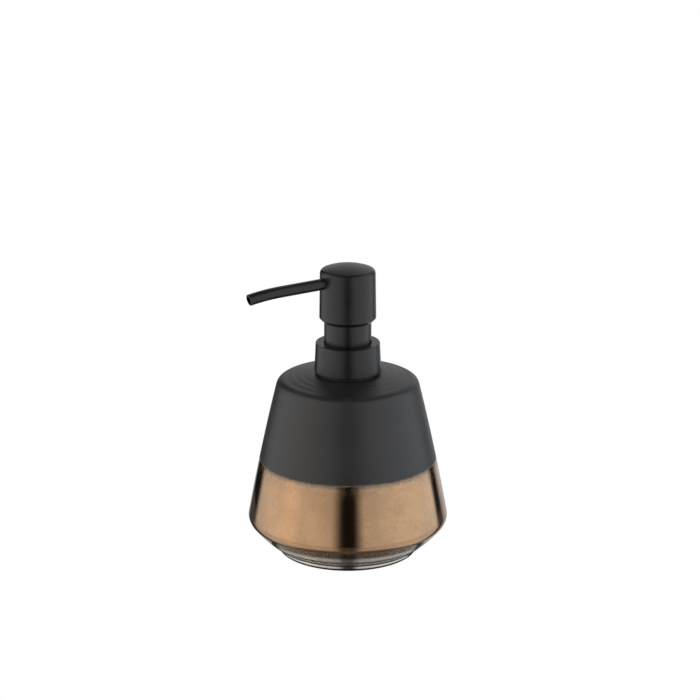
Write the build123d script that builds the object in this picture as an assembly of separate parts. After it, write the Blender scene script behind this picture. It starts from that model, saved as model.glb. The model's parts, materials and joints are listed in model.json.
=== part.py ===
from build123d import *
import math
import os

# Soap pump dispenser: a ceramic bottle with a screwed-on lotion pump.
# Millimetres, +Z up. The origin is the centre of the foot, on the pump's axis, and the
# spout points along -X. Every turned piece is a closed outline of (radius, height) points.

# ------------------------------------------------------------------ clearances
seat = 0.03                     # pieces pressed or glued together
running = 0.08                  # shaft in a guide, piston in a barrel
clear = 0.3                     # pieces that move past each other

# ------------------------------------------------------------------ bottle
belly_corner_radius = 50.9      # sharp corner before rounding, which leaves a belly 101 mm across
belly_height = 16.3             # height of that corner
belly_rounding = 5.6
shoulder_radius = 35.4
shoulder_height = 89.7
shoulder_rounding = 4.5
side_bulge = 0.5                # how far the long side stands out from a straight line
underside_bulge = 0.45          # the same for the short cone under the belly
foot_radius = 35.0
foot_height = 3.0
foot_inset = 2.0                # the foot stands in from the lower edge of the cone
mouth_rise = 3.3                # the shoulder climbs this much to the mouth
bottle_wall = 4.0
cavity_rounding = 4.0
mouth_lip_width = 3.9           # from the mouth's bore out to the edge of its flat land
mouth_lip_length = 10.0         # the thick lip that the insert sits in
edge_softening = 0.6            # glaze-rounded edges

# ------------------------------------------------------------------ threaded insert and its seal
thread_pitch = 25.4 / 6         # six threads to the inch
thread_turns = 1.25
thread_root_width = 2.2
thread_crest_width = 1.2
thread_bury = 0.3               # how deep a thread's root reaches into its wall
neck_root_radius = 12.45
neck_thread_depth = 1.2
neck_thread_height = 2.8        # middle of the thread's first turn, above the flange
neck_wall = 1.85
neck_length = 9.8               # from the flange to the rim
insert_flange_width = 0.8       # beyond the mouth's bore
insert_flange_height = 1.0
spigot_wall = 2.6
spigot_length = 11.0
seal_thickness = 1.4
seal_band = 0.8                 # thickness of the seal between its ribs
seal_rib_count = 3
seal_length = 7.5
seal_depth = 1.0                # from the mouth down to the seal

# ------------------------------------------------------------------ closure and collar
closure_wall = 1.2              # at the roof, where the tapered skirt is thinnest
closure_roof = 1.3
closure_thread_depth = 0.95
closure_thread_root_width = 1.5
closure_thread_crest_width = 0.8
closure_thread_start = 90       # degrees round from the start of the neck's thread
cover_wall = 0.9
cover_flare = 0.7               # the collar is this much wider at its lower edge, in radius
cover_length = 14.75
cover_gap = 1.25                # open line between the shoulder and the collar
cover_rounding = 0.4

# ------------------------------------------------------------------ pump
stroke = 10.5
landing_gap = 0.5               # left between the head and the collar when pressed down
gasket_thickness = 0.8
housing_flange_height = 1.6
barrel_radius = 8.2
barrel_wall = 2.0
barrel_length = 38.8            # from the underside of the flange to the spring seat step
vent_radius = 0.6               # air hole, covered by the piston at rest
chaplet_socket_wall = 1.12
chaplet_depth = 8.4             # how far the chaplet reaches into the barrel
chaplet_neck_width = 1.0        # the neck through the closure's roof, beyond the barrel
chaplet_tube_step = 0.8
chaplet_tube_room = 1.7         # between the stem and the inside of the chaplet's tube
chaplet_web = 2.0
chaplet_foot_height = 1.3       # the foot inside the sleeve's lower end
sleeve_radius = 11.8
sleeve_wall = 0.8
sleeve_overlap = 4.8            # reach of the sleeve into the head at rest
stem_room = 1.32                # between the stem and the inside of the piston's skirt
stem_wall = 1.25
inner_stem_wall = 1.02
inner_stem_engagement = 7.0
piston_length = 7.0
piston_web_length = 3.0
piston_skirt = 0.9
piston_lip_length = 1.0
valve_gap = 0.3
valve_room = 0.8                # between the valve cone and the inside of the piston's skirt
port_radius = 0.8
spring_seat_height = 1.0
spring_spigot_length = 1.3
spring_wire_radius = 0.5
spring_room = 0.7               # between the coil and the barrel
spring_length = 20.5
spring_turns = 7
ball_radius = 2.5
ball_room = 0.6                 # between the ball and its chamber
ball_lift = 1.2
inlet_hole_radius = 1.4
inlet_hole_length = 1.5
cage_thickness = 1.5
cage_recess = 0.3
cage_window_radius = 0.9
cage_windows = 4
nipple_wall = 1.57
nipple_length = 12.0
dip_tube_radius = 3.0
dip_tube_bore_radius = 2.0
dip_tube_floor_gap = 3.0
dip_tube_slant = 45

# ------------------------------------------------------------------ head and spout
head_wall = 2.1                 # at the lower edge, above the chamfer
head_taper = 0.35               # the head is this much slimmer at the crease, in radius
head_chamfer = 1.9
head_roof = 1.0                 # from the head's inner ceiling up to the crease
dome_rise = 2.9
crease_rounding = 2.3
core_height = 9.5
spout_fall = 2.4                # degrees below level
spout_straight = 36.9           # along the spout from the pump axis to the bend
spout_bend_radius = 113.0
spout_bend_angle = 8.8
spout_radius = 2.85
spout_wall = 0.85
spout_inset = 6.5               # the tube's inner end, from the pump axis
spout_tip_rounding = 0.35
spout_seal_radius = 0.5         # section of the O-ring
spout_seal_place = 9.4          # from the pump axis
soap_channel_radius = 2.0

# ------------------------------------------------------------------ radii that follow from those
neck_bore_radius = neck_root_radius - neck_wall
spigot_radius = neck_bore_radius + spigot_wall
mouth_bore_radius = spigot_radius + seal_thickness
mouth_land_radius = mouth_bore_radius + mouth_lip_width
insert_flange_radius = mouth_bore_radius + insert_flange_width
closure_bore_radius = neck_root_radius + neck_thread_depth + clear
cover_top_radius = closure_bore_radius + closure_wall + seat + cover_wall
cover_bottom_radius = cover_top_radius + cover_flare
barrel_bore_radius = barrel_radius - barrel_wall
chaplet_radius = barrel_radius - chaplet_socket_wall - seat
chaplet_neck_radius = barrel_radius + chaplet_neck_width
chaplet_tube_radius = chaplet_neck_radius - chaplet_tube_step
piston_lip_radius = barrel_bore_radius - running
piston_cup_radius = piston_lip_radius - piston_skirt
valve_cone_radius = piston_cup_radius - valve_room
stem_radius = piston_cup_radius - stem_room
stem_bore_radius = stem_radius - stem_wall
chaplet_tube_bore = stem_radius + chaplet_tube_room
inner_stem_radius = stem_bore_radius - seat
inner_stem_bore_radius = inner_stem_radius - inner_stem_wall
spring_coil_radius = barrel_bore_radius - spring_room - spring_wire_radius
ball_chamber_radius = ball_radius + ball_room
dip_socket_radius = dip_tube_radius + seat
nipple_radius = dip_socket_radius + nipple_wall
head_bore_radius = sleeve_radius + clear
head_bottom_radius = head_bore_radius + head_wall
head_top_radius = head_bottom_radius - head_taper
spout_bore_radius = spout_radius - spout_wall
groove_depth = 2 * (spout_seal_radius + seat)

# ------------------------------------------------------------------ heights up the axis
mouth = shoulder_height + mouth_rise
floor = foot_height + bottle_wall
insert_flange_top = mouth + insert_flange_height
rim = insert_flange_top + neck_length
flange_bottom = rim + gasket_thickness
flange_top = flange_bottom + housing_flange_height
roof_bottom = flange_top + clear
roof_top = roof_bottom + closure_roof
cover_bottom = mouth + cover_gap
cover_top = cover_bottom + cover_length
head_low = cover_top + stroke + landing_gap
sleeve_foot = roof_top + clear
sleeve_end = head_low + sleeve_overlap
chaplet_top = sleeve_end - sleeve_wall
core_bottom = sleeve_end + stroke + clear
ceiling = core_bottom + core_height
crease = ceiling + head_roof
spout_line = ceiling - groove_depth - spout_radius
chaplet_bottom = flange_top - chaplet_depth
piston_top = chaplet_bottom - valve_gap
piston_bottom = piston_top - piston_length
web_bottom = piston_bottom + (piston_length - piston_web_length) / 2
web_top = web_bottom + piston_web_length
cage_seat = flange_bottom - barrel_length
cage_top = cage_seat + cage_thickness
spring_top = cage_top + spring_length
ball_centre = cage_seat + cage_recess - clear - ball_lift - ball_radius
inlet_top = ball_centre + inlet_hole_radius - math.sqrt(2) * (ball_radius + running)
chamber_bottom = inlet_top + ball_chamber_radius - inlet_hole_radius
nipple_stop = inlet_top - inlet_hole_length
nipple_bottom = nipple_stop - nipple_length


def turned(outline):
    """Solid of revolution about the pump axis from a closed (radius, height) outline."""
    face = Plane.XZ * make_face(Polyline(*outline, close=True))
    return revolve(face, Axis.Z)


def tube(outer, inner, low, high):
    """Plain hollow cylinder."""
    return turned([(inner, low), (outer, low), (outer, high), (inner, high)])


def rod(radius, low, high):
    """Plain solid cylinder."""
    return turned([(0, low), (radius, low), (radius, high), (0, high)])


def inset_corner(before, corner, after, distance):
    """The corner moved inwards so that both its sides shift by the same distance."""
    first = Vector(*corner) - Vector(*before)
    second = Vector(*after) - Vector(*corner)
    normal_a = Vector(-first.Y, first.X).normalized()
    normal_b = Vector(-second.Y, second.X).normalized()
    moved = Vector(*corner) + (normal_a + normal_b) * (distance / (1 + normal_a.dot(normal_b)))
    return (moved.X, moved.Y)


def helical_ridge(radius, depth, root_width, crest_width, start_height, start_angle):
    """A thread ridge; positive depth stands outwards, negative depth inwards."""
    helix = Helix(pitch=thread_pitch, height=thread_pitch * thread_turns, radius=radius)
    buried = -math.copysign(thread_bury, depth)
    flank = [
        (buried, root_width / 2),
        (depth, crest_width / 2),
        (depth, -crest_width / 2),
        (buried, -root_width / 2),
    ]
    start = Plane(origin=helix @ 0, x_dir=(1, 0, 0), z_dir=helix % 0)
    ridge = sweep(start * make_face(Polyline(*flank, close=True)), path=helix, is_frenet=True)
    return Pos(0, 0, start_height) * Rot(0, 0, start_angle) * ridge


def vessel_face(corners, roundings, belly):
    """Half section of the bottle or its cavity: rounded corners, bulging sides above and below the belly."""
    bulges = {belly - 1: underside_bulge, belly: side_bulge}
    with BuildSketch() as half:
        with BuildLine():
            for index, (start, end) in enumerate(zip(corners, corners[1:] + corners[:1])):
                if index in bulges:
                    SagittaArc(start, end, -bulges[index])
                else:
                    Line(start, end)
        make_face()
        for corner, radius in roundings:
            fillet(half.vertices().sort_by_distance(corner)[0], radius)
    return Plane.XZ * half.sketch


def make_bottle():
    """Slip-cast vessel: a tall cone on a short inverted cone and a recessed foot."""
    cone_edge = (foot_radius + foot_inset, foot_height)
    belly = (belly_corner_radius, belly_height)
    shoulder = (shoulder_radius, shoulder_height)
    land = (mouth_land_radius, mouth)
    foot_top = (foot_radius, foot_height)
    outside = [(0, 0), (foot_radius, 0), foot_top, cone_edge, belly, shoulder, land, (0, mouth)]
    outer_roundings = [
        (cone_edge, edge_softening),
        (belly, belly_rounding),
        (shoulder, shoulder_rounding),
        (land, shoulder_rounding),
    ]
    body = revolve(vessel_face(outside, outer_roundings, outside.index(belly)), Axis.Z)

    edge_in = inset_corner(foot_top, cone_edge, belly, bottle_wall)
    belly_in = inset_corner(cone_edge, belly, shoulder, bottle_wall)
    shoulder_in = inset_corner(belly, shoulder, land, bottle_wall)
    land_in = inset_corner(shoulder, land, (0, mouth), bottle_wall)
    lip_bottom = mouth - mouth_lip_length
    inside = [
        (0, floor), edge_in, belly_in, shoulder_in, land_in, (land_in[0], lip_bottom),
        (mouth_bore_radius, lip_bottom), (mouth_bore_radius, mouth), (0, mouth),
    ]
    inner_roundings = [(corner, cavity_rounding) for corner in (edge_in, belly_in, shoulder_in)]
    cavity = revolve(vessel_face(inside, inner_roundings, inside.index(belly_in)), Axis.Z)
    vessel = body - cavity
    rim_edge = vessel.edges().filter_by(GeomType.CIRCLE).sort_by_distance((mouth_bore_radius, 0, mouth))[0]
    return fillet(rim_edge, edge_softening)


def make_neck_adapter():
    """Plastic insert: spigot in the mouth, flange on the land, threaded neck above."""
    body = turned([
        (neck_bore_radius, mouth - spigot_length),
        (spigot_radius, mouth - spigot_length),
        (spigot_radius, mouth + seat),
        (insert_flange_radius, mouth + seat),
        (insert_flange_radius, insert_flange_top),
        (neck_root_radius, insert_flange_top),
        (neck_root_radius, rim),
        (neck_bore_radius, rim),
    ])
    first = insert_flange_top + neck_thread_height
    ridge = helical_ridge(
        neck_root_radius, neck_thread_depth, thread_root_width, thread_crest_width, first, 0
    )
    return body + ridge


def make_adapter_seal():
    """Silicone sleeve with ribs that holds and seals the insert in the mouth."""
    inner = spigot_radius + seat
    outer = mouth_bore_radius - seat
    waist = inner + seal_band
    low = mouth - seal_depth - seal_length
    step = seal_length / (2 * seal_rib_count - 1)
    outline = [(inner, low)]
    for index in range(2 * seal_rib_count - 1):
        radius = outer if index % 2 == 0 else waist
        outline.append((radius, low + index * step))
        outline.append((radius, low + (index + 1) * step))
    outline.append((inner, low + seal_length))
    return turned(outline)


def make_neck_gasket():
    """Flat washer on the rim, under the pump's flange."""
    return tube(neck_root_radius, barrel_radius + clear, rim, flange_bottom)


def cover_radius(height):
    """Outside radius of the tapered collar at a height."""
    share = (height - cover_bottom) / cover_length
    return cover_bottom_radius + (cover_top_radius - cover_bottom_radius) * share


def make_closure():
    """Screw cap with one female thread, tapered to fill the collar cover."""
    skirt_bottom = cover_bottom + clear
    body = turned([
        (closure_bore_radius, skirt_bottom),
        (cover_radius(skirt_bottom) - cover_wall - seat, skirt_bottom),
        (cover_radius(roof_top) - cover_wall - seat, roof_top),
        (chaplet_neck_radius + clear, roof_top),
        (chaplet_neck_radius + clear, roof_bottom),
        (closure_bore_radius, roof_bottom),
    ])
    shift = (thread_crest_width + thread_root_width) / 4 + closure_thread_root_width / 2 + clear
    first = insert_flange_top + neck_thread_height + thread_pitch * closure_thread_start / 360 - shift
    ridge = helical_ridge(
        closure_bore_radius, -closure_thread_depth, closure_thread_root_width, closure_thread_crest_width,
        first, closure_thread_start
    )
    return body + ridge


def make_collar_cover():
    """Tapered collar shell pressed over the closure."""
    body = turned([
        (cover_bottom_radius - cover_wall, cover_bottom),
        (cover_bottom_radius, cover_bottom),
        (cover_top_radius, cover_top),
        (sleeve_radius + clear, cover_top),
        (sleeve_radius + clear, roof_top + seat),
        (cover_radius(roof_top) - cover_wall, roof_top + seat),
    ])
    rims = body.edges().filter_by(GeomType.CIRCLE)
    top_rim = rims.sort_by_distance((cover_top_radius, 0, cover_top))[0]
    bottom_rim = rims.sort_by_distance((cover_bottom_radius, 0, cover_bottom))[0]
    return fillet([top_rim, bottom_rim], cover_rounding)


def make_pump_housing():
    """Barrel with its flange, chaplet socket, ball chamber, inlet seat and dip tube socket."""
    socket_radius = chaplet_radius + seat
    body = turned([
        (dip_socket_radius, nipple_bottom),
        (nipple_radius, nipple_bottom),
        (nipple_radius, inlet_top),
        (barrel_radius, inlet_top + (barrel_radius - nipple_radius)),
        (barrel_radius, flange_bottom),
        (neck_root_radius, flange_bottom),
        (neck_root_radius, flange_top),
        (socket_radius, flange_top),
        (socket_radius, chaplet_bottom - seat),
        (barrel_bore_radius, chaplet_bottom - seat),
        (barrel_bore_radius, cage_seat),
        (ball_chamber_radius, cage_seat),
        (ball_chamber_radius, chamber_bottom),
        (inlet_hole_radius, inlet_top),
        (inlet_hole_radius, nipple_stop),
        (dip_socket_radius, nipple_stop),
    ])
    vent_height = (web_bottom + web_top) / 2
    vent = Pos(barrel_radius, 0, vent_height) * Rot(0, 90, 0) * Cylinder(vent_radius, barrel_radius)
    return body - vent


def make_chaplet():
    """Guide for the stem: snaps in the barrel, and its tall tube carries the sleeve."""
    guide = stem_radius + running
    foot = sleeve_radius - sleeve_wall - seat
    foot_top = sleeve_foot + chaplet_foot_height
    return turned([
        (guide, chaplet_bottom),
        (chaplet_radius, chaplet_bottom),
        (chaplet_radius, flange_top + seat),
        (chaplet_neck_radius, flange_top + seat),
        (chaplet_neck_radius, sleeve_foot),
        (foot, sleeve_foot),
        (foot, foot_top),
        (chaplet_tube_radius, foot_top),
        (chaplet_tube_radius, chaplet_top),
        (guide, chaplet_top),
        (guide, chaplet_top - chaplet_web),
        (chaplet_tube_bore, chaplet_top - chaplet_web),
        (chaplet_tube_bore, chaplet_bottom + 2 * chaplet_web),
        (guide, chaplet_bottom + 2 * chaplet_web),
    ])


def make_middle_sleeve():
    """Thin metal tube with a turned-in top that covers the chaplet."""
    inner = sleeve_radius - sleeve_wall
    opening = stem_radius + clear
    body = turned([
        (inner, sleeve_foot),
        (sleeve_radius, sleeve_foot),
        (sleeve_radius, sleeve_end),
        (opening, sleeve_end),
        (opening, chaplet_top + seat),
        (inner, chaplet_top + seat),
    ])
    rims = body.edges().filter_by(GeomType.CIRCLE)
    return fillet(rims.sort_by_distance((sleeve_radius, 0, sleeve_end))[0], cover_rounding)


def make_upper_stem():
    """Hollow stem from the piston up into the head core."""
    return tube(stem_radius, stem_bore_radius, web_top + valve_gap, spout_line - soap_channel_radius)


def make_piston_stem():
    """Lower stem: spring seat, valve cone under the piston, side ports and a push-in tube."""
    valve_bevel = (valve_cone_radius - inner_stem_radius) / 2
    spigot = spring_coil_radius - spring_wire_radius - clear
    valve_top = web_bottom - valve_gap
    seat_top = spring_top + spring_seat_height
    body = turned([
        (0, spring_top - spring_spigot_length),
        (spigot, spring_top - spring_spigot_length),
        (spigot, spring_top),
        (barrel_bore_radius - 2 * clear, spring_top),
        (barrel_bore_radius - 2 * clear, seat_top),
        (valve_cone_radius, seat_top),
        (valve_cone_radius, valve_top - valve_bevel),
        (valve_cone_radius - valve_bevel, valve_top),
        (inner_stem_radius, valve_top),
        (inner_stem_radius, web_top + inner_stem_engagement),
        (inner_stem_bore_radius, web_top + inner_stem_engagement),
        (inner_stem_bore_radius, valve_top),
        (0, valve_top),
    ])
    ports = Pos(0, 0, (web_bottom + web_top) / 2) * Rot(0, 90, 0) * Cylinder(port_radius, 2 * stem_radius)
    return body - ports


def make_piston():
    """Soft piston: a web on the stem and two thin lips on the barrel wall."""
    groove = piston_lip_radius - clear
    bore = inner_stem_radius + running
    return turned([
        (bore, web_bottom),
        (piston_cup_radius, web_bottom),
        (piston_cup_radius, piston_bottom),
        (piston_lip_radius, piston_bottom),
        (piston_lip_radius, piston_bottom + piston_lip_length),
        (groove, web_bottom),
        (groove, web_top),
        (piston_lip_radius, piston_top - piston_lip_length),
        (piston_lip_radius, piston_top),
        (piston_cup_radius, piston_top),
        (piston_cup_radius, web_top),
        (bore, web_top),
    ])


def make_return_spring():
    """Coil spring between the cage and the stem's spring seat."""
    gap = spring_wire_radius + seat
    height = spring_length - 2 * gap
    helix = Helix(pitch=height / spring_turns, height=height, radius=spring_coil_radius)
    wire = Plane(origin=helix @ 0, z_dir=helix % 0) * Circle(spring_wire_radius)
    return Pos(0, 0, cage_top + gap) * sweep(wire, path=helix, is_frenet=True)


def make_ball_cage():
    """Windowed disc over the ball chamber: spring seat and ball stop."""
    body = turned([
        (0, cage_seat + cage_recess),
        (ball_chamber_radius, cage_seat + cage_recess),
        (ball_chamber_radius, cage_seat),
        (barrel_bore_radius - seat, cage_seat),
        (barrel_bore_radius - seat, cage_top),
        (0, cage_top),
    ])
    window_place = ball_chamber_radius - cage_window_radius - running
    for index in range(cage_windows):
        window = Pos(window_place, 0, cage_seat) * Cylinder(cage_window_radius, 4 * cage_thickness)
        body -= Rot(0, 0, index * 360 / cage_windows) * window
    return body


def make_inlet_ball():
    """Check ball on the inlet seat."""
    return Pos(0, 0, ball_centre) * Sphere(ball_radius)


def make_dip_tube():
    """Straight tube from the barrel's socket down to the bottle's floor, cut at a slant."""
    low = floor + dip_tube_floor_gap
    body = tube(dip_tube_radius, dip_tube_bore_radius, low, nipple_stop)
    side = 6 * dip_tube_radius
    below = Align.CENTER, Align.CENTER, Align.MAX
    slant = Pos(0, 0, low + dip_tube_radius) * Rot(0, dip_tube_slant, 0)
    return body - slant * Box(side, side, side, align=below)


def spout_direction():
    """Unit vector along the straight run of the spout, away from the pump axis."""
    fall = math.radians(spout_fall)
    return Vector(-math.cos(fall), 0, -math.sin(fall))


def spout_rod(radius, start, end):
    """Cylinder on the spout's straight line between two distances from the pump axis."""
    origin = Vector(0, 0, spout_line) + spout_direction() * start
    across = Plane(origin=origin, x_dir=(0, 1, 0), z_dir=spout_direction())
    return extrude(across * Circle(radius), end - start)


def make_spout_tube():
    """Round tube: a straight run and one gentle downward bend."""
    outward = spout_direction()
    inner_end = Vector(0, 0, spout_line) + outward * spout_inset
    bend_start = Vector(0, 0, spout_line) + outward * spout_straight
    run = Line((inner_end.X, inner_end.Z), (bend_start.X, bend_start.Z))
    bend = JernArc((bend_start.X, bend_start.Z), (outward.X, outward.Z), spout_bend_radius, spout_bend_angle)
    path = Plane.XZ * Wire([run, bend])
    across = Plane(origin=inner_end, x_dir=(0, 1, 0), z_dir=outward)
    body = sweep(across * Circle(spout_radius), path=path)
    body -= sweep(across * Circle(spout_bore_radius), path=path)
    rims = body.edges().filter_by(lambda edge: edge.is_closed).sort_by_distance(path @ 1)
    return fillet(rims[0:2].sort_by(SortBy.LENGTH)[-1], spout_tip_rounding)


def make_spout_seal():
    """O-ring in the head core around the spout tube."""
    origin = Vector(0, 0, spout_line) + spout_direction() * spout_seal_place
    around = Plane(origin=origin, x_dir=(0, 1, 0), z_dir=spout_direction())
    return around * Torus(spout_radius + seat + spout_seal_radius, spout_seal_radius)


def make_head_core():
    """Moulded body in the head: stem socket, soap channel and spout socket."""
    outer = head_bore_radius - seat
    body = rod(outer, core_bottom, ceiling - seat)
    body -= rod(stem_radius + seat, core_bottom, spout_line - soap_channel_radius + seat)
    body -= rod(soap_channel_radius, core_bottom, spout_line)
    body -= spout_rod(soap_channel_radius, 0, head_bottom_radius)
    body -= spout_rod(spout_radius + seat, spout_inset - seat, head_bottom_radius)
    groove_start = spout_seal_place - groove_depth / 2
    body -= spout_rod(spout_radius + groove_depth, groove_start, groove_start + groove_depth)
    return body


def make_head_shell():
    """Hollow head: chamfered lower edge, slightly tapered side and a low dome."""
    dome_radius = (head_top_radius ** 2 + dome_rise ** 2) / (2 * dome_rise)
    dome_angle = math.degrees(math.asin(head_top_radius / dome_radius))
    outer_corner = (head_top_radius, crease)
    with BuildSketch() as half:
        with BuildLine():
            Polyline(
                (0, crease + dome_rise),
                (0, ceiling),
                (head_bore_radius, ceiling),
                (head_bore_radius, head_low),
                (head_bottom_radius - head_chamfer, head_low),
                (head_bottom_radius, head_low + head_chamfer),
                outer_corner,
            )
            CenterArc((0, crease + dome_rise - dome_radius), dome_radius, 90 - dome_angle, dome_angle)
        make_face()
        fillet(half.vertices().sort_by_distance(outer_corner)[0], crease_rounding)
        chamfer_corner = (head_bottom_radius, head_low + head_chamfer)
        fillet(half.vertices().sort_by_distance(chamfer_corner)[0], edge_softening)
    shell = revolve(Plane.XZ * half.sketch, Axis.Z)
    return shell - spout_rod(spout_radius + seat, spout_inset, 2 * head_bottom_radius)


MAKERS = {
    "bottle": make_bottle,
    "neck_adapter": make_neck_adapter,
    "adapter_seal": make_adapter_seal,
    "neck_gasket": make_neck_gasket,
    "closure": make_closure,
    "collar_cover": make_collar_cover,
    "pump_housing": make_pump_housing,
    "chaplet": make_chaplet,
    "middle_sleeve": make_middle_sleeve,
    "upper_stem": make_upper_stem,
    "piston_stem": make_piston_stem,
    "piston": make_piston,
    "return_spring": make_return_spring,
    "ball_cage": make_ball_cage,
    "inlet_ball": make_inlet_ball,
    "dip_tube": make_dip_tube,
    "head_core": make_head_core,
    "head_shell": make_head_shell,
    "spout_tube": make_spout_tube,
    "spout_seal": make_spout_seal,
}

os.makedirs("parts", exist_ok=True)
for node, maker in MAKERS.items():
    piece = maker()
    print(f"{node}: valid {piece.is_valid}, volume {piece.volume:.1f} mm3")
    export_step(piece, f"parts/{node}.step")
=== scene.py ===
# %% [markdown]
# # Soap pump dispenser
# A glazed ceramic bottle with a black lotion pump. The solids, joints and sizes come from the
# packed design; this lesson gives them their finishes, remakes the bottle and the spring with
# Geometry Nodes, and lights them like a small product studio. All lengths are metres.

# %% Load the frame
import json
import math

import bpy
import bmesh
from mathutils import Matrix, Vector


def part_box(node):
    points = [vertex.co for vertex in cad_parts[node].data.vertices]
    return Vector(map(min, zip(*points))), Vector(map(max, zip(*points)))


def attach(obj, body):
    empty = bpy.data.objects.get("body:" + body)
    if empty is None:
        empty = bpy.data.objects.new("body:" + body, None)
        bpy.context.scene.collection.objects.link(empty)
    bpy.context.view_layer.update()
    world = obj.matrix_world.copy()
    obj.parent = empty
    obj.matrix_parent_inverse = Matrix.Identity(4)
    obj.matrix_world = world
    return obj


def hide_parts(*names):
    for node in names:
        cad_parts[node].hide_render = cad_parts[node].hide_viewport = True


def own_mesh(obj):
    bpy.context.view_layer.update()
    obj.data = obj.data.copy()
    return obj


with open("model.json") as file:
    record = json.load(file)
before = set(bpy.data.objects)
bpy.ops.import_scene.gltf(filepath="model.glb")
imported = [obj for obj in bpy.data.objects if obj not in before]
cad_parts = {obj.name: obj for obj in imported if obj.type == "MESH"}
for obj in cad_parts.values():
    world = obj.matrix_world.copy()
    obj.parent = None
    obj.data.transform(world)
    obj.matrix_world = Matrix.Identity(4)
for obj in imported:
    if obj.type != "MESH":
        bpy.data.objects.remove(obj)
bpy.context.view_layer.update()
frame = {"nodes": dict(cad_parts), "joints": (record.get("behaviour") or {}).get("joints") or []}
nodes = frame["nodes"]
MM = 0.001

# %% [markdown]
# ## Camera
# A product picture is taken from a little above with a long lens, so that the upright lines
# stay nearly parallel. The camera stands on an arc around the object: an azimuth and an
# elevation set its direction, and a point on the pump's axis is what it looks at.

# %% Camera
LENS, SENSOR_WIDTH = 131.9, 36       # millimetres, as Blender wants them
CAMERA_DISTANCE = 1.2888
AIM_ASIDE = 1.1                      # millimetres to the right of the axis
azimuth = math.radians(-27)
elevation = math.radians(18.28)
away = Vector((
    math.sin(azimuth) * math.cos(elevation),
    -math.cos(azimuth) * math.cos(elevation),
    math.sin(elevation),
))
right = Vector((math.cos(azimuth), math.sin(azimuth), 0))
middle = Vector((0, 0, 80 * MM))
aim = Vector((0, 0, 104.7 * MM)) + right * AIM_ASIDE * MM

camera_data = bpy.data.cameras.new("camera")
camera_data.lens = LENS
camera_data.sensor_width = SENSOR_WIDTH
camera = bpy.data.objects.new("camera", camera_data)
camera.location = middle + away * CAMERA_DISTANCE
camera.rotation_euler = (aim - camera.location).to_track_quat("-Z", "Y").to_euler()
bpy.context.scene.collection.objects.link(camera)
bpy.context.scene.camera = camera
print("camera at", [round(c, 3) for c in camera.location])

# %% [markdown]
# ## Helpers for node trees
# Materials, the world and Geometry Nodes are all node trees. Five small functions keep the
# cells short: one adds a node with its values, one stands for a Math node, one makes a smooth
# step, one mixes two colours, and one starts a node group with named sockets.

# %% Helpers for node trees
def add(tree, kind, inputs=None, **settings):
    """Add a node, set its properties, then its input sockets by name or number."""
    made = tree.nodes.new(kind)
    for name, value in settings.items():
        setattr(made, name, value)
    for key, value in (inputs or {}).items():
        if isinstance(value, bpy.types.NodeSocket):
            tree.links.new(value, made.inputs[key])
        else:
            made.inputs[key].default_value = value
    return made


def maths(tree, operation, *values, clamp=False):
    """A Math node; each value is a number or a socket. Returns its output."""
    made = add(tree, "ShaderNodeMath", dict(enumerate(values)), operation=operation, use_clamp=clamp)
    return made.outputs[0]


def ease(tree, value, low, high, out_low=0.0, out_high=1.0):
    """Smooth step from out_low at low to out_high at high."""
    made = add(
        tree, "ShaderNodeMapRange",
        {0: value, 1: low, 2: high, 3: out_low, 4: out_high},
        interpolation_type="SMOOTHSTEP",
    )
    return made.outputs[0]


def blend(tree, share, first, second):
    """Mix two colours or colour sockets by a share from 0 to 1."""
    made = add(tree, "ShaderNodeMix", {0: share}, data_type="RGBA")
    for index, value in ((6, first), (7, second)):
        if isinstance(value, bpy.types.NodeSocket):
            tree.links.new(value, made.inputs[index])
        else:
            made.inputs[index].default_value = (*value, 1)
    return made.outputs[2]


def new_tree(name, kind, inputs, outputs):
    """A node group with named sockets: (name, socket type, default) in, (name, type) out."""
    tree = bpy.data.node_groups.new(name, kind)
    for title, socket_type, value in inputs:
        socket = tree.interface.new_socket(title, in_out="INPUT", socket_type=socket_type)
        if value is not None:
            socket.default_value = value
    for title, socket_type in outputs:
        tree.interface.new_socket(title, in_out="OUTPUT", socket_type=socket_type)
    return tree, tree.nodes.new("NodeGroupInput").outputs, tree.nodes.new("NodeGroupOutput").inputs


print("helpers ready")

# %% [markdown]
# ## Studio
# Glossy things show the room, not themselves. This room is a light tent: bright cloth to the
# left and right, a narrow dark gap where the camera looks in, two dark seams and a duller wall
# behind, and a dark roof. The tent is painted on the world by the angle around the object,
# which gives soft light with no visible lamps. Rays from the camera itself see plain white.

# %% Light tent
TENT_STOPS = [                  # degrees round from the camera, to the right; brightness; warmth
    (-180, 0.64, 0.0), (-166, 0.58, 0.0), (-159, 0.012, 0.0), (-137, 0.012, 0.0), (-126, 0.92, 0.0),
    (-116, 1.04, 0.0), (-97, 1.15, 0.0), (-74, 1.28, 0.07), (-46, 0.99, 0.03), (-22, 0.83, 0.04),
    (-5, 0.010, 0.0), (6.5, 0.010, 0.0), (22, 0.88, 0.0), (50, 1.06, -0.01), (79, 1.16, -0.03),
    (104, 1.20, -0.05), (120, 1.24, -0.06), (129, 0.015, 0.0), (138, 0.015, 0.0), (146, 0.56, -0.02),
    (157, 0.76, -0.02), (180, 0.64, 0.0),
]
ROOF_LIGHT = (0.10, 0.10, 0.105)
ROOF_STARTS, ROOF_FULL = 0.70, 0.92  # upward part of a direction


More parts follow.
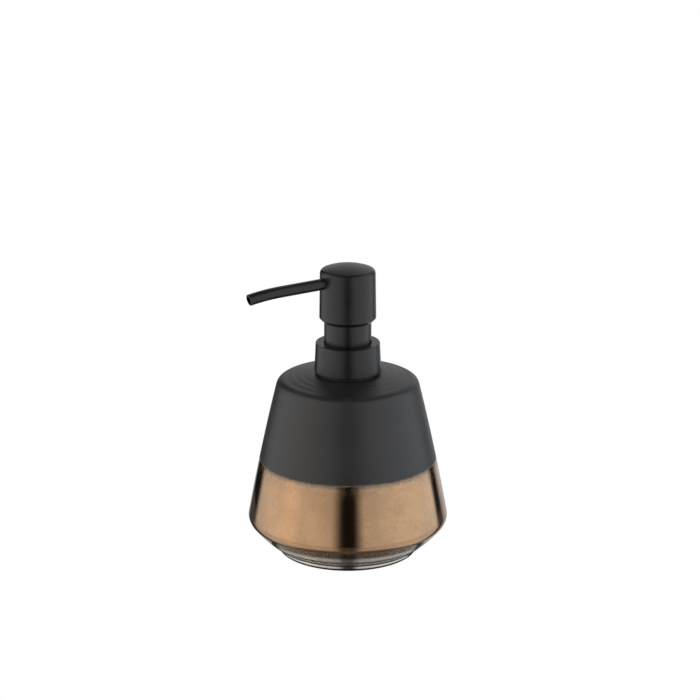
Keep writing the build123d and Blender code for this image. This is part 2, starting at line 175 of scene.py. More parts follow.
def build_tent():
    world = bpy.data.worlds.new("light_tent")
    world.use_nodes = True
    tree = world.node_tree
    tree.nodes.clear()
    where = add(tree, "ShaderNodeTexCoord").outputs["Generated"]
    turned = add(
        tree, "ShaderNodeVectorRotate", {"Vector": where, "Angle": -azimuth},
        rotation_type="Z_AXIS",
    )
    parts = add(tree, "ShaderNodeSeparateXYZ", {0: turned.outputs[0]}).outputs
    around = maths(tree, "ARCTAN2", parts["X"], maths(tree, "MULTIPLY", parts["Y"], -1.0))
    share = maths(tree, "MULTIPLY_ADD", around, 1 / math.tau, 0.5)
    ramp = add(tree, "ShaderNodeValToRGB", {0: share})
    ramp.color_ramp.interpolation = "EASE"
    while len(ramp.color_ramp.elements) < len(TENT_STOPS):
        ramp.color_ramp.elements.new(0.5)
    for element, (degrees, light, warmth) in zip(ramp.color_ramp.elements, TENT_STOPS):
        element.position = 0.5 + degrees / 360
        element.color = (light * (1 + warmth), light, light * (1 - warmth), 1)
    roof = ease(tree, parts["Z"], ROOF_STARTS, ROOF_FULL)
    cloth = blend(tree, roof, ramp.outputs[0], ROOF_LIGHT)
    seen = add(tree, "ShaderNodeLightPath").outputs["Is Camera Ray"]
    colour = blend(tree, seen, cloth, (1, 1, 1))
    background = add(tree, "ShaderNodeBackground", {"Color": colour, "Strength": 1.0})
    add(tree, "ShaderNodeOutputWorld", {"Surface": background.outputs[0]})
    return world


bpy.context.scene.world = build_tent()
bpy.context.scene.view_settings.view_transform = "Standard"
print("tent with", len(TENT_STOPS), "stops")

# %% [markdown]
# ## Floor
# A round sheet of white acrylic. To the camera it is as white as the tent, as a light table
# is, so that the object stands on clean white. To the object it is mostly a mirror with some
# matt white in it, so that the bottle's underside sees the tent in it.

# %% Floor
FLOOR_RADIUS = 0.14
FLOOR_DROP = 0.02 * MM               # keeps the sheet just under the foot
MATT_SHARE = 0.20


def build_floor():
    mesh = bpy.data.meshes.new("floor")
    shape = bmesh.new()
    bmesh.ops.create_circle(shape, cap_ends=True, segments=96, radius=FLOOR_RADIUS)
    shape.to_mesh(mesh)
    shape.free()
    floor = bpy.data.objects.new("floor", mesh)
    bpy.context.scene.collection.objects.link(floor)
    material = bpy.data.materials.new("white_acrylic")
    material.use_nodes = True
    tree = material.node_tree
    tree.nodes.clear()
    sheen = add(tree, "ShaderNodeBsdfGlossy", {"Color": (0.92, 0.92, 0.92, 1), "Roughness": 0.05})
    matt = add(tree, "ShaderNodeBsdfDiffuse", {"Color": (0.8, 0.8, 0.8, 1)})
    body = add(tree, "ShaderNodeMixShader", {0: MATT_SHARE, 1: sheen.outputs[0], 2: matt.outputs[0]})
    glow = add(tree, "ShaderNodeEmission", {"Color": (1, 1, 1, 1), "Strength": 1.0})
    seen = add(tree, "ShaderNodeLightPath").outputs["Is Camera Ray"]
    sheet = add(tree, "ShaderNodeMixShader", {0: seen, 1: body.outputs[0], 2: glow.outputs[0]})
    add(tree, "ShaderNodeOutputMaterial", {"Surface": sheet.outputs[0]})
    mesh.materials.append(material)
    floor.location.z = -FLOOR_DROP
    return floor


build_floor()
print("floor radius", FLOOR_RADIUS)

# %% [markdown]
# ## Shared surface effects
# Several finishes need the same three things: slow cloudy changes of tone, a fine grain that
# breaks up the highlights, and faint rings left by turning. Each is a shader group, built once
# and placed in the materials with its own values. A group hands out only values and heights;
# the Principled shader stays in the material.

# %% Clouds
def build_cloud_group():
    """Value near 0.5 that drifts over the surface, at a patch size and a smaller fleck size."""
    tree, given, out = new_tree("clouds", "ShaderNodeTree", [
        ("Vector", "NodeSocketVector", None),
        ("Patches per Metre", "NodeSocketFloat", 60.0),
        ("Flecks per Metre", "NodeSocketFloat", 700.0),
        ("Fleck Share", "NodeSocketFloat", 0.35),
    ], [("Value", "NodeSocketFloat")])
    patch = add(tree, "ShaderNodeTexNoise", {"Vector": given[0], "Scale": given[1], "Detail": 3.0})
    fleck = add(tree, "ShaderNodeTexNoise", {"Vector": given[0], "Scale": given[2], "Detail": 2.0})
    mixed = add(tree, "ShaderNodeMix", {0: given[3], 2: patch.outputs[0], 3: fleck.outputs[0]})
    tree.links.new(mixed.outputs[0], out["Value"])
    return tree


cloud_group = build_cloud_group()
print("made group", cloud_group.name)

# %% Grain
WIDE_GRAIN = 0.22                    # the wide grain's scale as a share of the fine one's


def build_grain_group():
    """Height of a fine grain, for a Bump node."""
    tree, given, out = new_tree("grain", "ShaderNodeTree", [
        ("Vector", "NodeSocketVector", None),
        ("Grains per Metre", "NodeSocketFloat", 3000.0),
        ("Softness", "NodeSocketFloat", 0.5),
    ], [("Height", "NodeSocketFloat")])
    fine = add(tree, "ShaderNodeTexNoise", {"Vector": given[0], "Scale": given[1], "Detail": 2.0})
    wide_scale = maths(tree, "MULTIPLY", given[1], WIDE_GRAIN)
    wide = add(tree, "ShaderNodeTexNoise", {"Vector": given[0], "Scale": wide_scale, "Detail": 1.0})
    mixed = add(tree, "ShaderNodeMix", {0: given[2], 2: fine.outputs[0], 3: wide.outputs[0]})
    tree.links.new(mixed.outputs[0], out["Height"])
    return tree


grain_group = build_grain_group()
print("made group", grain_group.name)

# %% Rings
RING_SLOPE = 0.7                     # lets flat faces have rings as well as upright ones
DRIFT_PER_METRE = 35.0


def build_ring_group():
    """Height of faint rings around the Z axis, as turning or moulding leaves them."""
    tree, given, out = new_tree("rings", "ShaderNodeTree", [
        ("Vector", "NodeSocketVector", None),
        ("Rings per Metre", "NodeSocketFloat", 900.0),
        ("Wander", "NodeSocketFloat", 0.4),
    ], [("Height", "NodeSocketFloat")])
    parts = add(tree, "ShaderNodeSeparateXYZ", {0: given[0]}).outputs
    radius = maths(tree, "SQRT", maths(
        tree, "ADD", maths(tree, "MULTIPLY", parts["X"], parts["X"]),
        maths(tree, "MULTIPLY", parts["Y"], parts["Y"])
    ))
    along = maths(tree, "SUBTRACT", parts["Z"], maths(tree, "MULTIPLY", radius, RING_SLOPE))
    drift = add(
        tree, "ShaderNodeTexNoise", {"Vector": given[0], "Scale": DRIFT_PER_METRE, "Detail": 1.0}
    ).outputs[0]
    wander = maths(tree, "MULTIPLY", drift, given[2])
    turns = maths(tree, "ADD", maths(tree, "MULTIPLY", along, given[1]), wander)
    lines = add(
        tree, "ShaderNodeTexNoise", {"W": turns, "Scale": 1.0, "Detail": 2.0},
        noise_dimensions="1D",
    )
    tree.links.new(lines.outputs[0], out["Height"])
    return tree


ring_group = build_ring_group()
print("made group", ring_group.name)


# %% Material helpers
def new_material(name):
    """A node material: returns it, its tree, its Principled shader and Object coordinates."""
    material = bpy.data.materials.new(name)
    material.use_nodes = True
    tree = material.node_tree
    shader = tree.nodes["Principled BSDF"]
    coordinates = add(tree, "ShaderNodeTexCoord").outputs["Object"]
    return material, tree, shader, coordinates


def use_group(tree, group, inputs):
    """Place a shared group in a material and return its first output."""
    made = add(tree, "ShaderNodeGroup", node_tree=group)
    for key, value in inputs.items():
        if isinstance(value, bpy.types.NodeSocket):
            tree.links.new(value, made.inputs[key])
        else:
            made.inputs[key].default_value = value
    return made.outputs[0]


def bump(tree, height, strength, distance, below=None):
    """A Bump node on a height socket, stacked on another normal if one is given."""
    inputs = {"Height": height, "Strength": strength, "Distance": distance}
    if below is not None:
        inputs["Normal"] = below
    return add(tree, "ShaderNodeBump", inputs).outputs[0]


print("material helpers ready")

# %% [markdown]
# ## Glaze
# One ceramic body carries two glazes. The upper one is matt black. The lower third is a glossy
# bronze lustre, which is a metal film, so its colour comes from Metallic and Base Color. The
# two run into each other over a millimetre or two, with a greyish line and fine flecks. Height
# above the foot decides which glaze a point has, with noise added so that the edge wanders.
# Where the wall turns under, the lustre is painted dark brown: painted shade for the shaded floor
# that it reflects there. The lower cone is painted pale, a painted reflection of the white floor
# on top of the real one. The ring that the bottle stands on is painted nearly black: painted
# shade for the shadowed gap under the cone's edge.

# %% Glaze
GLAZE_EDGE = 48.5 * MM
# Painted shade: below the belly's turn the lustre is painted dark brown for the shaded floor it
# reflects.
UNDERSIDE_SHADE_STARTS, UNDERSIDE_SHADE_FULL = 15.5 * MM, 14.0 * MM
# Painted reflection: the lower cone really reflects the floor, and its tint is painted pale in place
# of bronze to whiten that reflection.
PALE_REFLECTION_STARTS, PALE_REFLECTION_FULL = 11.5 * MM, 9.5 * MM
# Painted shade: the foot ring is painted nearly black for the shadowed gap under the cone's edge.
FOOT_SHADE_STARTS, FOOT_SHADE_FULL = 1.5 * MM, 0.9 * MM
BLACK_GLAZE = (0.0115, 0.0114, 0.0125), (0.0165, 0.0163, 0.0178)
BRONZE_GLAZE = (0.41, 0.257, 0.152), (0.485, 0.305, 0.178)
DUSTY_BRONZE = (0.26, 0.20, 0.145)
# Painted shade: the dark brown of the band under the belly.
UNDERSIDE_SHADE_BROWN = (0.13, 0.085, 0.055)
# Painted reflection: the pale tint of the lower cone.
PALE_CONE_REFLECTION = (0.64, 0.61, 0.57)
# Painted shade: the near black of the foot ring.
FOOT_SHADE_BLACK = (0.030, 0.024, 0.018)
GREY_LINE = (0.13, 0.115, 0.10)


def build_glaze():
    material, tree, shader, place = new_material("two_glazes")
    height = add(tree, "ShaderNodeSeparateXYZ", {0: place}).outputs["Z"]
    clouds = use_group(tree, cloud_group, {"Vector": place})
    flecks = use_group(tree, cloud_group, {
        "Vector": place, "Patches per Metre": 420.0, "Flecks per Metre": 1500.0, "Fleck Share": 0.5
    })
    wander = maths(tree, "MULTIPLY", maths(tree, "SUBTRACT", clouds, 0.5), 1.2 * MM)
    edge = maths(tree, "ADD", maths(tree, "SUBTRACT", height, GLAZE_EDGE), wander)
    ragged = maths(tree, "MULTIPLY_ADD", maths(tree, "SUBTRACT", flecks, 0.5), 1.6 * MM, edge)
    upper = ease(tree, ragged, -0.8 * MM, 0.6 * MM)
    line = ease(tree, maths(tree, "ABSOLUTE", maths(tree, "ADD", ragged, 0.7 * MM)), 1.6 * MM, 0.0)
    near = ease(tree, edge, -9.0 * MM, -0.5 * MM)

    black = blend(tree, ease(tree, clouds, 0.35, 0.65), *BLACK_GLAZE)
    bronze = blend(tree, ease(tree, clouds, 0.38, 0.62), *BRONZE_GLAZE)
    dusty = maths(tree, "MULTIPLY", near, ease(tree, flecks, 0.40, 0.62))
    bronze = blend(tree, maths(tree, "MULTIPLY", dusty, 0.5), bronze, DUSTY_BRONZE)
    for starts, full, tone in (
        # painted shade under the belly
        (UNDERSIDE_SHADE_STARTS, UNDERSIDE_SHADE_FULL, UNDERSIDE_SHADE_BROWN),
        # pale painted reflection of the floor on the lower cone
        (PALE_REFLECTION_STARTS, PALE_REFLECTION_FULL, PALE_CONE_REFLECTION),
        # painted shade on the foot ring
        (FOOT_SHADE_STARTS, FOOT_SHADE_FULL, FOOT_SHADE_BLACK),
    ):
        bronze = blend(tree, ease(tree, height, starts, full), bronze, tone)
    colour = blend(tree, upper, bronze, black)
    colour = blend(tree, maths(tree, "MULTIPLY", line, 0.55), colour, GREY_LINE)

    gloss = maths(tree, "MULTIPLY_ADD", dusty, 0.14, 0.11)
    matt = maths(tree, "MULTIPLY_ADD", clouds, 0.10, 0.38)
    rough = add(tree, "ShaderNodeMix", {0: upper, 2: gloss, 3: matt}).outputs[0]
    metal = maths(tree, "SUBTRACT", 1.0, upper)

    waves = use_group(tree, ring_group, {"Vector": place, "Rings per Metre": 240.0, "Wander": 1.2})
    soft = bump(tree, maths(tree, "MULTIPLY", waves, upper), 0.10, 0.4 * MM)
    tree.links.new(colour, shader.inputs["Base Color"])
    tree.links.new(rough, shader.inputs["Roughness"])
    tree.links.new(metal, shader.inputs["Metallic"])
    tree.links.new(soft, shader.inputs["Normal"])
    shader.inputs["Specular IOR Level"].default_value = 0.57
    return material


glaze = build_glaze()
print(glaze.name, "edge in mm", round(GLAZE_EDGE / MM, 1))

# %% [markdown]
# ## Black coated metal
# The head, spout, sleeve and collar are thin metal with a satin black coat. The coat is not
# one flat black: it has a fine orange-peel grain, slight rings from turning, and roughness
# that drifts, so a highlight is soft and a little uneven.

# %% Black coated metal
SATIN_BLACK = (0.0042, 0.0042, 0.0054), (0.0078, 0.0078, 0.0096)


def build_satin_black():
    material, tree, shader, place = new_material("satin_black_coat")
    clouds = use_group(tree, cloud_group, {
        "Vector": place, "Patches per Metre": 110.0, "Flecks per Metre": 2600.0, "Fleck Share": 0.4
    })
    colour = blend(tree, ease(tree, clouds, 0.35, 0.65), *SATIN_BLACK)
    rough = maths(tree, "MULTIPLY_ADD", clouds, 0.12, 0.27)
    rings = use_group(tree, ring_group, {"Vector": place, "Rings per Metre": 1400.0})
    grain = use_group(tree, grain_group, {"Vector": place, "Grains per Metre": 3500.0})
    turned = bump(tree, rings, 0.05, 0.1 * MM)
    tree.links.new(colour, shader.inputs["Base Color"])
    tree.links.new(rough, shader.inputs["Roughness"])
    tree.links.new(bump(tree, grain, 0.12, 0.03 * MM, turned), shader.inputs["Normal"])
    shader.inputs["Specular IOR Level"].default_value = 0.45
    return material


satin_black = build_satin_black()
print("made", satin_black.name)

# %% [markdown]
# ## Inner pieces
# Out of sight are moulded plastics, soft seals and two steels. One recipe serves them all:
# two tones mixed by the cloud group, a roughness that drifts, and the grain group as bump.
# Only the numbers differ from piece to piece, so a table of finishes drives a function.

# %% Inner pieces
def build_finish(name, dark, light, rough, grain_size, grain_height, metallic=0.0, subsurface=0.0):
    """A material that drifts between two tones, with its own roughness and grain."""
    material, tree, shader, place = new_material(name)
    clouds = use_group(tree, cloud_group, {"Vector": place, "Patches per Metre": 140.0})
    tone = blend(tree, ease(tree, clouds, 0.3, 0.7), dark, light)
    tree.links.new(tone, shader.inputs["Base Color"])
    drift = maths(tree, "MULTIPLY_ADD", clouds, 0.16, rough - 0.08)
    tree.links.new(drift, shader.inputs["Roughness"])
    grain = use_group(tree, grain_group, {"Vector": place, "Grains per Metre": grain_size})
    tree.links.new(bump(tree, grain, 0.3, grain_height), shader.inputs["Normal"])
    shader.inputs["Metallic"].default_value = metallic
    shader.inputs["Subsurface Weight"].default_value = subsurface
    shader.inputs["Subsurface Scale"].default_value = 1.5 * MM
    return material


FINISH_TABLE = {        # dark tone, light tone, roughness, grains per metre, grain height, extras
    "black_moulded_plastic": ((0.010, 0.010, 0.010), (0.022, 0.022, 0.023), 0.42, 4000.0, 0.02 * MM),
    "white_moulded_plastic": (
        (0.74, 0.74, 0.71), (0.82, 0.82, 0.80), 0.38, 3000.0, 0.02 * MM, {"subsurface": 0.15}
    ),
    "drawn_tube_plastic": (
        (0.78, 0.79, 0.77), (0.86, 0.87, 0.85), 0.32, 1500.0, 0.015 * MM, {"subsurface": 0.25}
    ),
    "soft_silicone": (
        (0.50, 0.50, 0.49), (0.60, 0.60, 0.58), 0.55, 5000.0, 0.015 * MM, {"subsurface": 0.2}
    ),
    "piston_polyethylene": (
        (0.66, 0.66, 0.62), (0.75, 0.75, 0.72), 0.5, 3500.0, 0.02 * MM, {"subsurface": 0.1}
    ),
    "drawn_spring_wire": (
        (0.50, 0.50, 0.49), (0.62, 0.62, 0.61), 0.26, 6000.0, 0.01 * MM, {"metallic": 1.0}
    ),
    "polished_ball_steel": (
        (0.58, 0.58, 0.58), (0.64, 0.64, 0.65), 0.16, 5000.0, 0.004 * MM, {"metallic": 1.0}
    ),
}
finishes = {}
for name, (dark, light, rough, grain_size, grain_height, *extras) in FINISH_TABLE.items():
    finishes[name] = build_finish(
        name, dark, light, rough, grain_size, grain_height, **(extras[0] if extras else {})
    )
print("finishes:", ", ".join(finishes))

# %% Finishes on the pieces
spring_steel = finishes["drawn_spring_wire"]
FINISHES = {
    finishes["black_moulded_plastic"]: ["neck_adapter", "closure"],
    satin_black: ["collar_cover", "middle_sleeve", "head_shell", "spout_tube"],
    finishes["white_moulded_plastic"]: [
        "neck_gasket", "pump_housing", "chaplet", "upper_stem", "piston_stem", "ball_cage",
        "head_core",
    ],
    finishes["drawn_tube_plastic"]: ["dip_tube"],
    finishes["soft_silicone"]: ["adapter_seal", "spout_seal"],
    finishes["piston_polyethylene"]: ["piston"],
    finishes["polished_ball_steel"]: ["inlet_ball"],
}
for material, names in FINISHES.items():
    for name in names:
        nodes[name].data.materials.clear()
        nodes[name].data.materials.append(material)
    print(material.name, "on", ", ".join(names))

# %% [markdown]
# ## Bottle
# The bottle is a body of revolution, so a rule can make it: one outline, turned about the
# axis. The outline is a handful of corners with rounded stretches between them. A Geometry
# Nodes tree lays a grid of points, sends each row to one outline point and each column to one
# angle, and presses shallow waves into the skin, as a wheel and a hand leave them.

# %% Outline with rounded corners
ARC_STEPS = 8


def rounded(corners, roundings):
    """Outline points with an arc at each corner that has a radius."""
    points = []
    for index, corner in enumerate(corners):
        radius = roundings[index]
        here = Vector(corner)
        if not radius:
            points.append(here)
            continue
        back = (Vector(corners[index - 1]) - here).normalized()
        onward = (Vector(corners[index + 1]) - here).normalized()
        half = back.angle(onward) / 2
        centre = here + (back + onward).normalized() * (radius / math.sin(half))
        start = here + back * (radius / math.tan(half)) - centre
        end = here + onward * (radius / math.tan(half)) - centre
        sweep = start.angle(end)
        steps = max(3, round(ARC_STEPS * sweep / (math.pi / 2) * max(1, (radius / MM) ** 0.5)))
        for step in range(steps + 1):
            share = step / steps
            weights = math.sin((1 - share) * sweep), math.sin(share * sweep)
            points.append(centre + (start * weights[0] + end * weights[1]) / math.sin(sweep))
    return points


def bowed(start, end, bow, steps):
    """Points strictly between two ends, standing out sideways by up to bow."""
    along = end - start
    side = Vector((along.y, -along.x)).normalized()
    return [
        start + along * (k / steps) + side * bow * 4 * (k / steps) * (1 - k / steps)
        for k in range(1, steps)
    ]


print("outline helpers ready")

# %% Bottle outline
WALL = 4.0 * MM
FOOT = 35.0 * MM
CONE_EDGE = Vector((37.0, 3.0)) * MM
BELLY = Vector((51.0, 16.3)) * MM
SHOULDER = Vector((35.4, 89.7)) * MM
SIDE_BOW = 0.5 * MM
UNDERSIDE_BOW = 0.45 * MM
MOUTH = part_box("bottle")[1].z
MOUTH_BORE = 14.6 * MM
LAND = MOUTH_BORE + 3.9 * MM
LIP_BOTTOM = MOUTH - 10.0 * MM


def inset(before, corner, after, distance):
    """The corner moved inwards, so that both its sides shift by the same distance."""
    first = (corner - before).normalized()
    second = (after - corner).normalized()
    normals = Vector((-first.y, first.x)) + Vector((-second.y, second.x))
    return corner + normals * (distance / (1 + first.dot(second)))


def bottle_outline():
    """Closed outline of the vessel wall from the axis under the foot round to the axis inside."""
    land = Vector((LAND, MOUTH))
    outside = [
        Vector((0, 0.6 * MM)), Vector((29 * MM, 0.6 * MM)), Vector((30 * MM, 0)), Vector((FOOT, 0)),
        Vector((FOOT + 0.1 * MM, CONE_EDGE.y)), CONE_EDGE, BELLY, SHOULDER, land,
    ]
    inside = [
        Vector((LAND - 3.9 * MM, MOUTH)), Vector((MOUTH_BORE, LIP_BOTTOM)),
        inset(SHOULDER, land, Vector((0, MOUTH)), WALL),
        inset(BELLY, SHOULDER, land, WALL), inset(CONE_EDGE, BELLY, SHOULDER, WALL),
        inset(Vector((FOOT, CONE_EDGE.y)), CONE_EDGE, BELLY, WALL), Vector((0, CONE_EDGE.y + WALL)),
    ]
    inside.insert(2, Vector((inside[2].x, LIP_BOTTOM)))
    radii = [0, 0.5, 0.4, 0.7, 0.4, 0.6, 5.6, 4.5, 3.2, 0.6, 0.8, 1.5, 2.0, 4.0, 4.0, 4.0, 0]
    points = rounded(outside + inside, [r * MM for r in radii])
    finished = []
    for here, onward in zip(points, points[1:] + points[:1]):
        finished.append(here)
        length = (onward - here).length
        outward = 1 if onward.y > here.y else -1
        low, high = sorted((here.y, onward.y))
        if length > 60 * MM:                                                # the long side
            finished += bowed(here, onward, outward * SIDE_BOW, 40)
        elif length > 8 * MM and 2 * MM < low < high < 20 * MM:             # the lower cone
            finished += bowed(here, onward, outward * UNDERSIDE_BOW, 12)
        elif length > 12 * MM and here.y > 80 * MM:                         # the shoulder
            finished += bowed(here, onward, 0.0, 24)
    return finished


outline = bottle_outline()
print("outline points", len(outline), "widest", round(max(p.x for p in outline) / MM, 2))

# %% [markdown]
# ## The lathe tree
# The tree reads the outline's points by number with Sample Index. In a grid, a point's own
# number tells its row and column, so no curve has to be resampled and no corner is lost.
# Merge by Distance then closes the seam and the two poles, and Set Material ends the tree.

# %% Lathe tree: read the outline
MOUTH_CLEAR, MOUTH_FULL = 0.019, 0.022      # radii: nothing is pressed in where the insert sits
WALL_CLEAR, WALL_FULL = 0.020, 0.030        # heights: nothing is pressed in at the belly
LUMPS_PER_METRE = 40.0


def outline_row(tree, given):
    """A grid, the outline point (X, Y, Z sockets) of each grid point, and its angle."""
    rows = add(
        tree, "GeometryNodeAttributeDomainSize", {0: given["Outline"]}
    ).outputs["Point Count"]
    columns = maths(tree, "ADD", given["Segments"], 1.0)
    grid = add(tree, "GeometryNodeMeshGrid", {"Vertices X": columns, "Vertices Y": rows})
    index = add(tree, "GeometryNodeInputIndex").outputs[0]
    row = maths(tree, "FLOORED_MODULO", index, rows)
    column = maths(tree, "FLOOR", maths(tree, "DIVIDE", index, rows))
    place = add(tree, "GeometryNodeInputPosition").outputs[0]
    sample = add(
        tree, "GeometryNodeSampleIndex", {"Geometry": given["Outline"], "Index": row},
        data_type="FLOAT_VECTOR", domain="POINT",
    )
    tree.links.new(place, next(s for s in sample.inputs if s.name == "Value" and s.enabled))
    value = next(s for s in sample.outputs if s.enabled)
    point = add(tree, "ShaderNodeSeparateXYZ", {0: value}).outputs
    share = maths(tree, "DIVIDE", column, given["Segments"])
    return grid, point, maths(tree, "MULTIPLY", share, math.tau)


def turned_to(tree, turn, radius, height):
    """The position at an angle, a radius and a height."""
    return add(tree, "ShaderNodeCombineXYZ", {
        0: maths(tree, "MULTIPLY", radius, maths(tree, "COSINE", turn)),
        1: maths(tree, "MULTIPLY", radius, maths(tree, "SINE", turn)),
        2: height,
    }).outputs[0]


print("outline reader ready")

# %% Lathe tree: waves and hollows
def shoulder_dent(tree, given, point, beyond_mouth):
    """How far the shoulder is lowered: shallow waves above Wave Start."""
    wheel = maths(tree, "MULTIPLY_ADD", point["X"], -1.0, point["Z"])
    turns = maths(tree, "MULTIPLY", wheel, given["Waves per Metre"])
    wave = maths(tree, "SINE", maths(tree, "MULTIPLY", turns, math.tau))
    below = maths(tree, "SUBTRACT", given["Wave Start"], 0.01)
    high = ease(tree, point["Z"], below, given["Wave Start"])
    depth = maths(tree, "MULTIPLY", maths(tree, "SUBTRACT", 1.0, wave), 0.5)
    dent = maths(tree, "MULTIPLY", maths(tree, "MULTIPLY", depth, high), given["Wave Height"])
    return maths(tree, "MULTIPLY", dent, beyond_mouth)


def wall_hollow(tree, given, point, turn, beyond_mouth):
    """How far the wall is drawn in: wide soft lumps that differ round the bottle."""
    lumps = add(
        tree, "ShaderNodeTexNoise", {
            "Vector": turned_to(tree, turn, point["X"], point["Z"]), "W": given["Seed"],
            "Scale": LUMPS_PER_METRE, "Detail": 1.0,
        }, noise_dimensions="4D",
    ).outputs[0]
    side = maths(tree, "MULTIPLY", ease(tree, point["Z"], WALL_CLEAR, WALL_FULL), beyond_mouth)
    return maths(tree, "MULTIPLY", maths(tree, "MULTIPLY", lumps, given["Unevenness"]), side)


print("wave and hollow helpers ready")

# %% Lathe tree: put together
def build_lathe():
    tree, given, out = new_tree("lathe", "GeometryNodeTree", [
        ("Outline", "NodeSocketGeometry", None),
        ("Segments", "NodeSocketInt", 256),
        ("Wave Height", "NodeSocketFloat", 0.0001),
        ("Waves per Metre", "NodeSocketFloat", 210.0),
        ("Wave Start", "NodeSocketFloat", 0.088),
        ("Unevenness", "NodeSocketFloat", 0.00004),
        ("Seed", "NodeSocketFloat", 3.0),
        ("Finish", "NodeSocketMaterial", None),
    ], [("Geometry", "NodeSocketGeometry")])
    grid, point, turn = outline_row(tree, given)
    beyond_mouth = ease(tree, point["X"], MOUTH_CLEAR, MOUTH_FULL)
    hollow = wall_hollow(tree, given, point, turn, beyond_mouth)
    dent = shoulder_dent(tree, given, point, beyond_mouth)
    radius = maths(tree, "SUBTRACT", point["X"], hollow)
    height = maths(tree, "SUBTRACT", point["Z"], dent)
    turned = add(tree, "GeometryNodeSetPosition", {
        "Geometry": grid.outputs["Mesh"], "Position": turned_to(tree, turn, radius, height),
    })
    joined = add(
        tree, "GeometryNodeMergeByDistance", {"Geometry": turned.outputs[0], "Distance": 1e-7}
    )
    smooth = add(tree, "GeometryNodeSetShadeSmooth", {"Geometry": joined.outputs[0]})
    real = add(tree, "GeometryNodeRealizeInstances", {0: smooth.outputs[0]})
    done = add(
        tree, "GeometryNodeSetMaterial",
        {"Geometry": real.outputs[0], "Material": given["Finish"]},
    )
    tree.links.new(done.outputs[0], out["Geometry"])
    return tree


lathe = build_lathe()
print("lathe nodes", len(lathe.nodes))

# %% Run a tree on a piece
def set_inputs(modifier, values):
    """Set a tree's named inputs by their socket identifiers."""
    for socket in modifier.node_group.interface.items_tree:
        if socket.item_type == "SOCKET" and socket.in_out == "INPUT" and socket.name in values:
            modifier[socket.identifier] = values[socket.name]


def finished_piece(name, start_mesh, tree, values):
    """Run a Geometry Nodes tree on a mesh once and keep the result as a plain mesh object."""
    holder = bpy.data.objects.new(name + "_start", start_mesh)
    bpy.context.scene.collection.objects.link(holder)
    modifier = holder.modifiers.new("make", "NODES")
    modifier.node_group = tree
    set_inputs(modifier, values)
    graph = bpy.context.evaluated_depsgraph_get()
    mesh = bpy.data.meshes.new_from_object(holder.evaluated_get(graph))
    bpy.data.objects.remove(holder)
    shape = bmesh.new()
    shape.from_mesh(mesh)
    if shape.calc_volume(signed=True) < 0:
        bmesh.ops.reverse_faces(shape, faces=shape.faces)
    open_edges = sum(not edge.is_manifold for edge in shape.edges)
    volume = shape.calc_volume(signed=True)
    shape.to_mesh(mesh)
    shape.free()
    piece = bpy.data.objects.new(name, mesh)
    bpy.context.scene.collection.objects.link(piece)
    print(name, "faces", len(mesh.polygons), "open edges", open_edges, "cm3", round(volume * 1e6, 1))
    return piece


print("tree runner ready")


# %% Make the bottle
def outline_mesh(points):
    """The outline as loose points in the XZ plane."""
    mesh = bpy.data.meshes.new("outline")
    mesh.from_pydata([(point.x, 0, point.y) for point in points], [], [])
    return mesh


bottle = finished_piece("ceramic_bottle", outline_mesh(outline), lathe, {
    "Segments": 288, "Wave Height": 0.10 * MM, "Waves per Metre": 210.0, "Wave Start": 88 * MM,
    "Unevenness": 0.04 * MM, "Seed": 3.0, "Finish": glaze,
})
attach(bottle, "bottle")
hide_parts("bottle")

# %% [markdown]
# ## Return spring
# The spring under the piston is a wound wire. Real springs close up at both ends: the first
# and last turn lie almost flat, so that the spring stands square. A Spiral gives the turns, a
# Set Position moves them closer together near the ends, and Curve to Mesh gives the wire its
# thickness. The spring shortens when the head is pressed; it is hung on the pump body, and its
# pressed length is worked out and printed.

# %% Spring tree: height along the wire
CLOSED_PITCH = 2.02                  # wire radii from one closed turn to the next


def coil_height(tree, given):
    """Height along the wire: slow in the closed turns at the ends, even between them."""
    share = add(tree, "GeometryNodeSplineParameter").outputs["Factor"]
    turn = maths(tree, "MULTIPLY", share, given["Turns"])
    closed = given["Closed Turns"]
    low = maths(tree, "ADD", given["Bottom"], given["Wire Radius"])
    high = maths(tree, "SUBTRACT", given["Top"], given["Wire Radius"])
    last = maths(tree, "SUBTRACT", given["Turns"], closed)
    wire = maths(tree, "MULTIPLY", given["Wire Radius"], CLOSED_PITCH)
    from_bottom = maths(tree, "MULTIPLY_ADD", maths(tree, "MINIMUM", turn, closed), wire, low)
    left = maths(tree, "MINIMUM", maths(tree, "SUBTRACT", given["Turns"], turn), closed)
    from_top = maths(tree, "SUBTRACT", high, maths(tree, "MULTIPLY", left, wire))
    free = add(
        tree, "ShaderNodeMapRange", {0: turn, 1: closed, 2: last, 3: 0.0, 4: 1.0},
        interpolation_type="LINEAR",
    ).outputs[0]
    return add(tree, "ShaderNodeMix", {0: free, 2: from_bottom, 3: from_top}).outputs[0]


print("coil height ready")

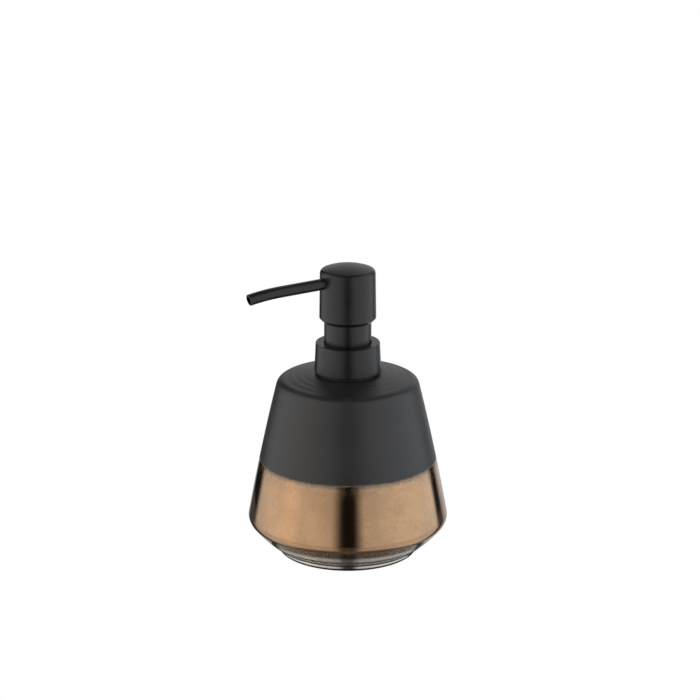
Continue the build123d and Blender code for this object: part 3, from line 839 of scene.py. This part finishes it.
# %% Spring tree: put together
def build_coil():
    tree, given, out = new_tree("coil_spring", "GeometryNodeTree", [
        ("Start", "NodeSocketGeometry", None),
        ("Turns", "NodeSocketFloat", 8.0),
        ("Coil Radius", "NodeSocketFloat", 0.005),
        ("Wire Radius", "NodeSocketFloat", 0.0005),
        ("Bottom", "NodeSocketFloat", 0.0),
        ("Top", "NodeSocketFloat", 0.02),
        ("Closed Turns", "NodeSocketFloat", 1.0),
        ("Steps per Turn", "NodeSocketInt", 40),
        ("Wire Sides", "NodeSocketInt", 12),
        ("Finish", "NodeSocketMaterial", None),
    ], [("Geometry", "NodeSocketGeometry")])
    spiral = add(tree, "GeometryNodeCurveSpiral", {
        "Resolution": given["Steps per Turn"], "Rotations": given["Turns"],
        "Start Radius": given["Coil Radius"], "End Radius": given["Coil Radius"], "Height": 0.0,
    })
    position = add(tree, "GeometryNodeInputPosition").outputs[0]
    place = add(tree, "ShaderNodeSeparateXYZ", {0: position}).outputs
    lifted = add(
        tree, "ShaderNodeCombineXYZ", {0: place["X"], 1: place["Y"], 2: coil_height(tree, given)}
    ).outputs[0]
    path = add(
        tree, "GeometryNodeSetPosition", {"Geometry": spiral.outputs[0], "Position": lifted}
    )
    section = add(tree, "GeometryNodeCurvePrimitiveCircle", {
        "Resolution": given["Wire Sides"], "Radius": given["Wire Radius"],
    })
    wound = add(tree, "GeometryNodeCurveToMesh", {
        "Curve": path.outputs[0], "Profile Curve": section.outputs[0], "Fill Caps": True,
    })
    smooth = add(tree, "GeometryNodeSetShadeSmooth", {"Geometry": wound.outputs[0]})
    real = add(tree, "GeometryNodeRealizeInstances", {0: smooth.outputs[0]})
    done = add(
        tree, "GeometryNodeSetMaterial",
        {"Geometry": real.outputs[0], "Material": given["Finish"]},
    )
    tree.links.new(done.outputs[0], out["Geometry"])
    return tree


print("coil tree ready")

# %% Make the spring
spring_low, spring_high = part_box("return_spring")
WIRE = 0.5 * MM
press = next(joint for joint in frame["joints"] if joint["name"] == "head_press")
STROKE = press["range_m"][1]
spring_length = spring_high.z - spring_low.z
spring = finished_piece("wound_spring", bpy.data.meshes.new("empty"), build_coil(), {
    "Turns": 8.0, "Coil Radius": spring_high.x - WIRE, "Wire Radius": WIRE, "Bottom": spring_low.z,
    "Top": spring_high.z, "Closed Turns": 1.0, "Finish": spring_steel,
})
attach(spring, "pump")
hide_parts("return_spring")
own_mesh(spring)
pressed = spring_length - STROKE
print("spring in mm", round(spring_length / MM, 2), "pressed", round(pressed / MM, 2))
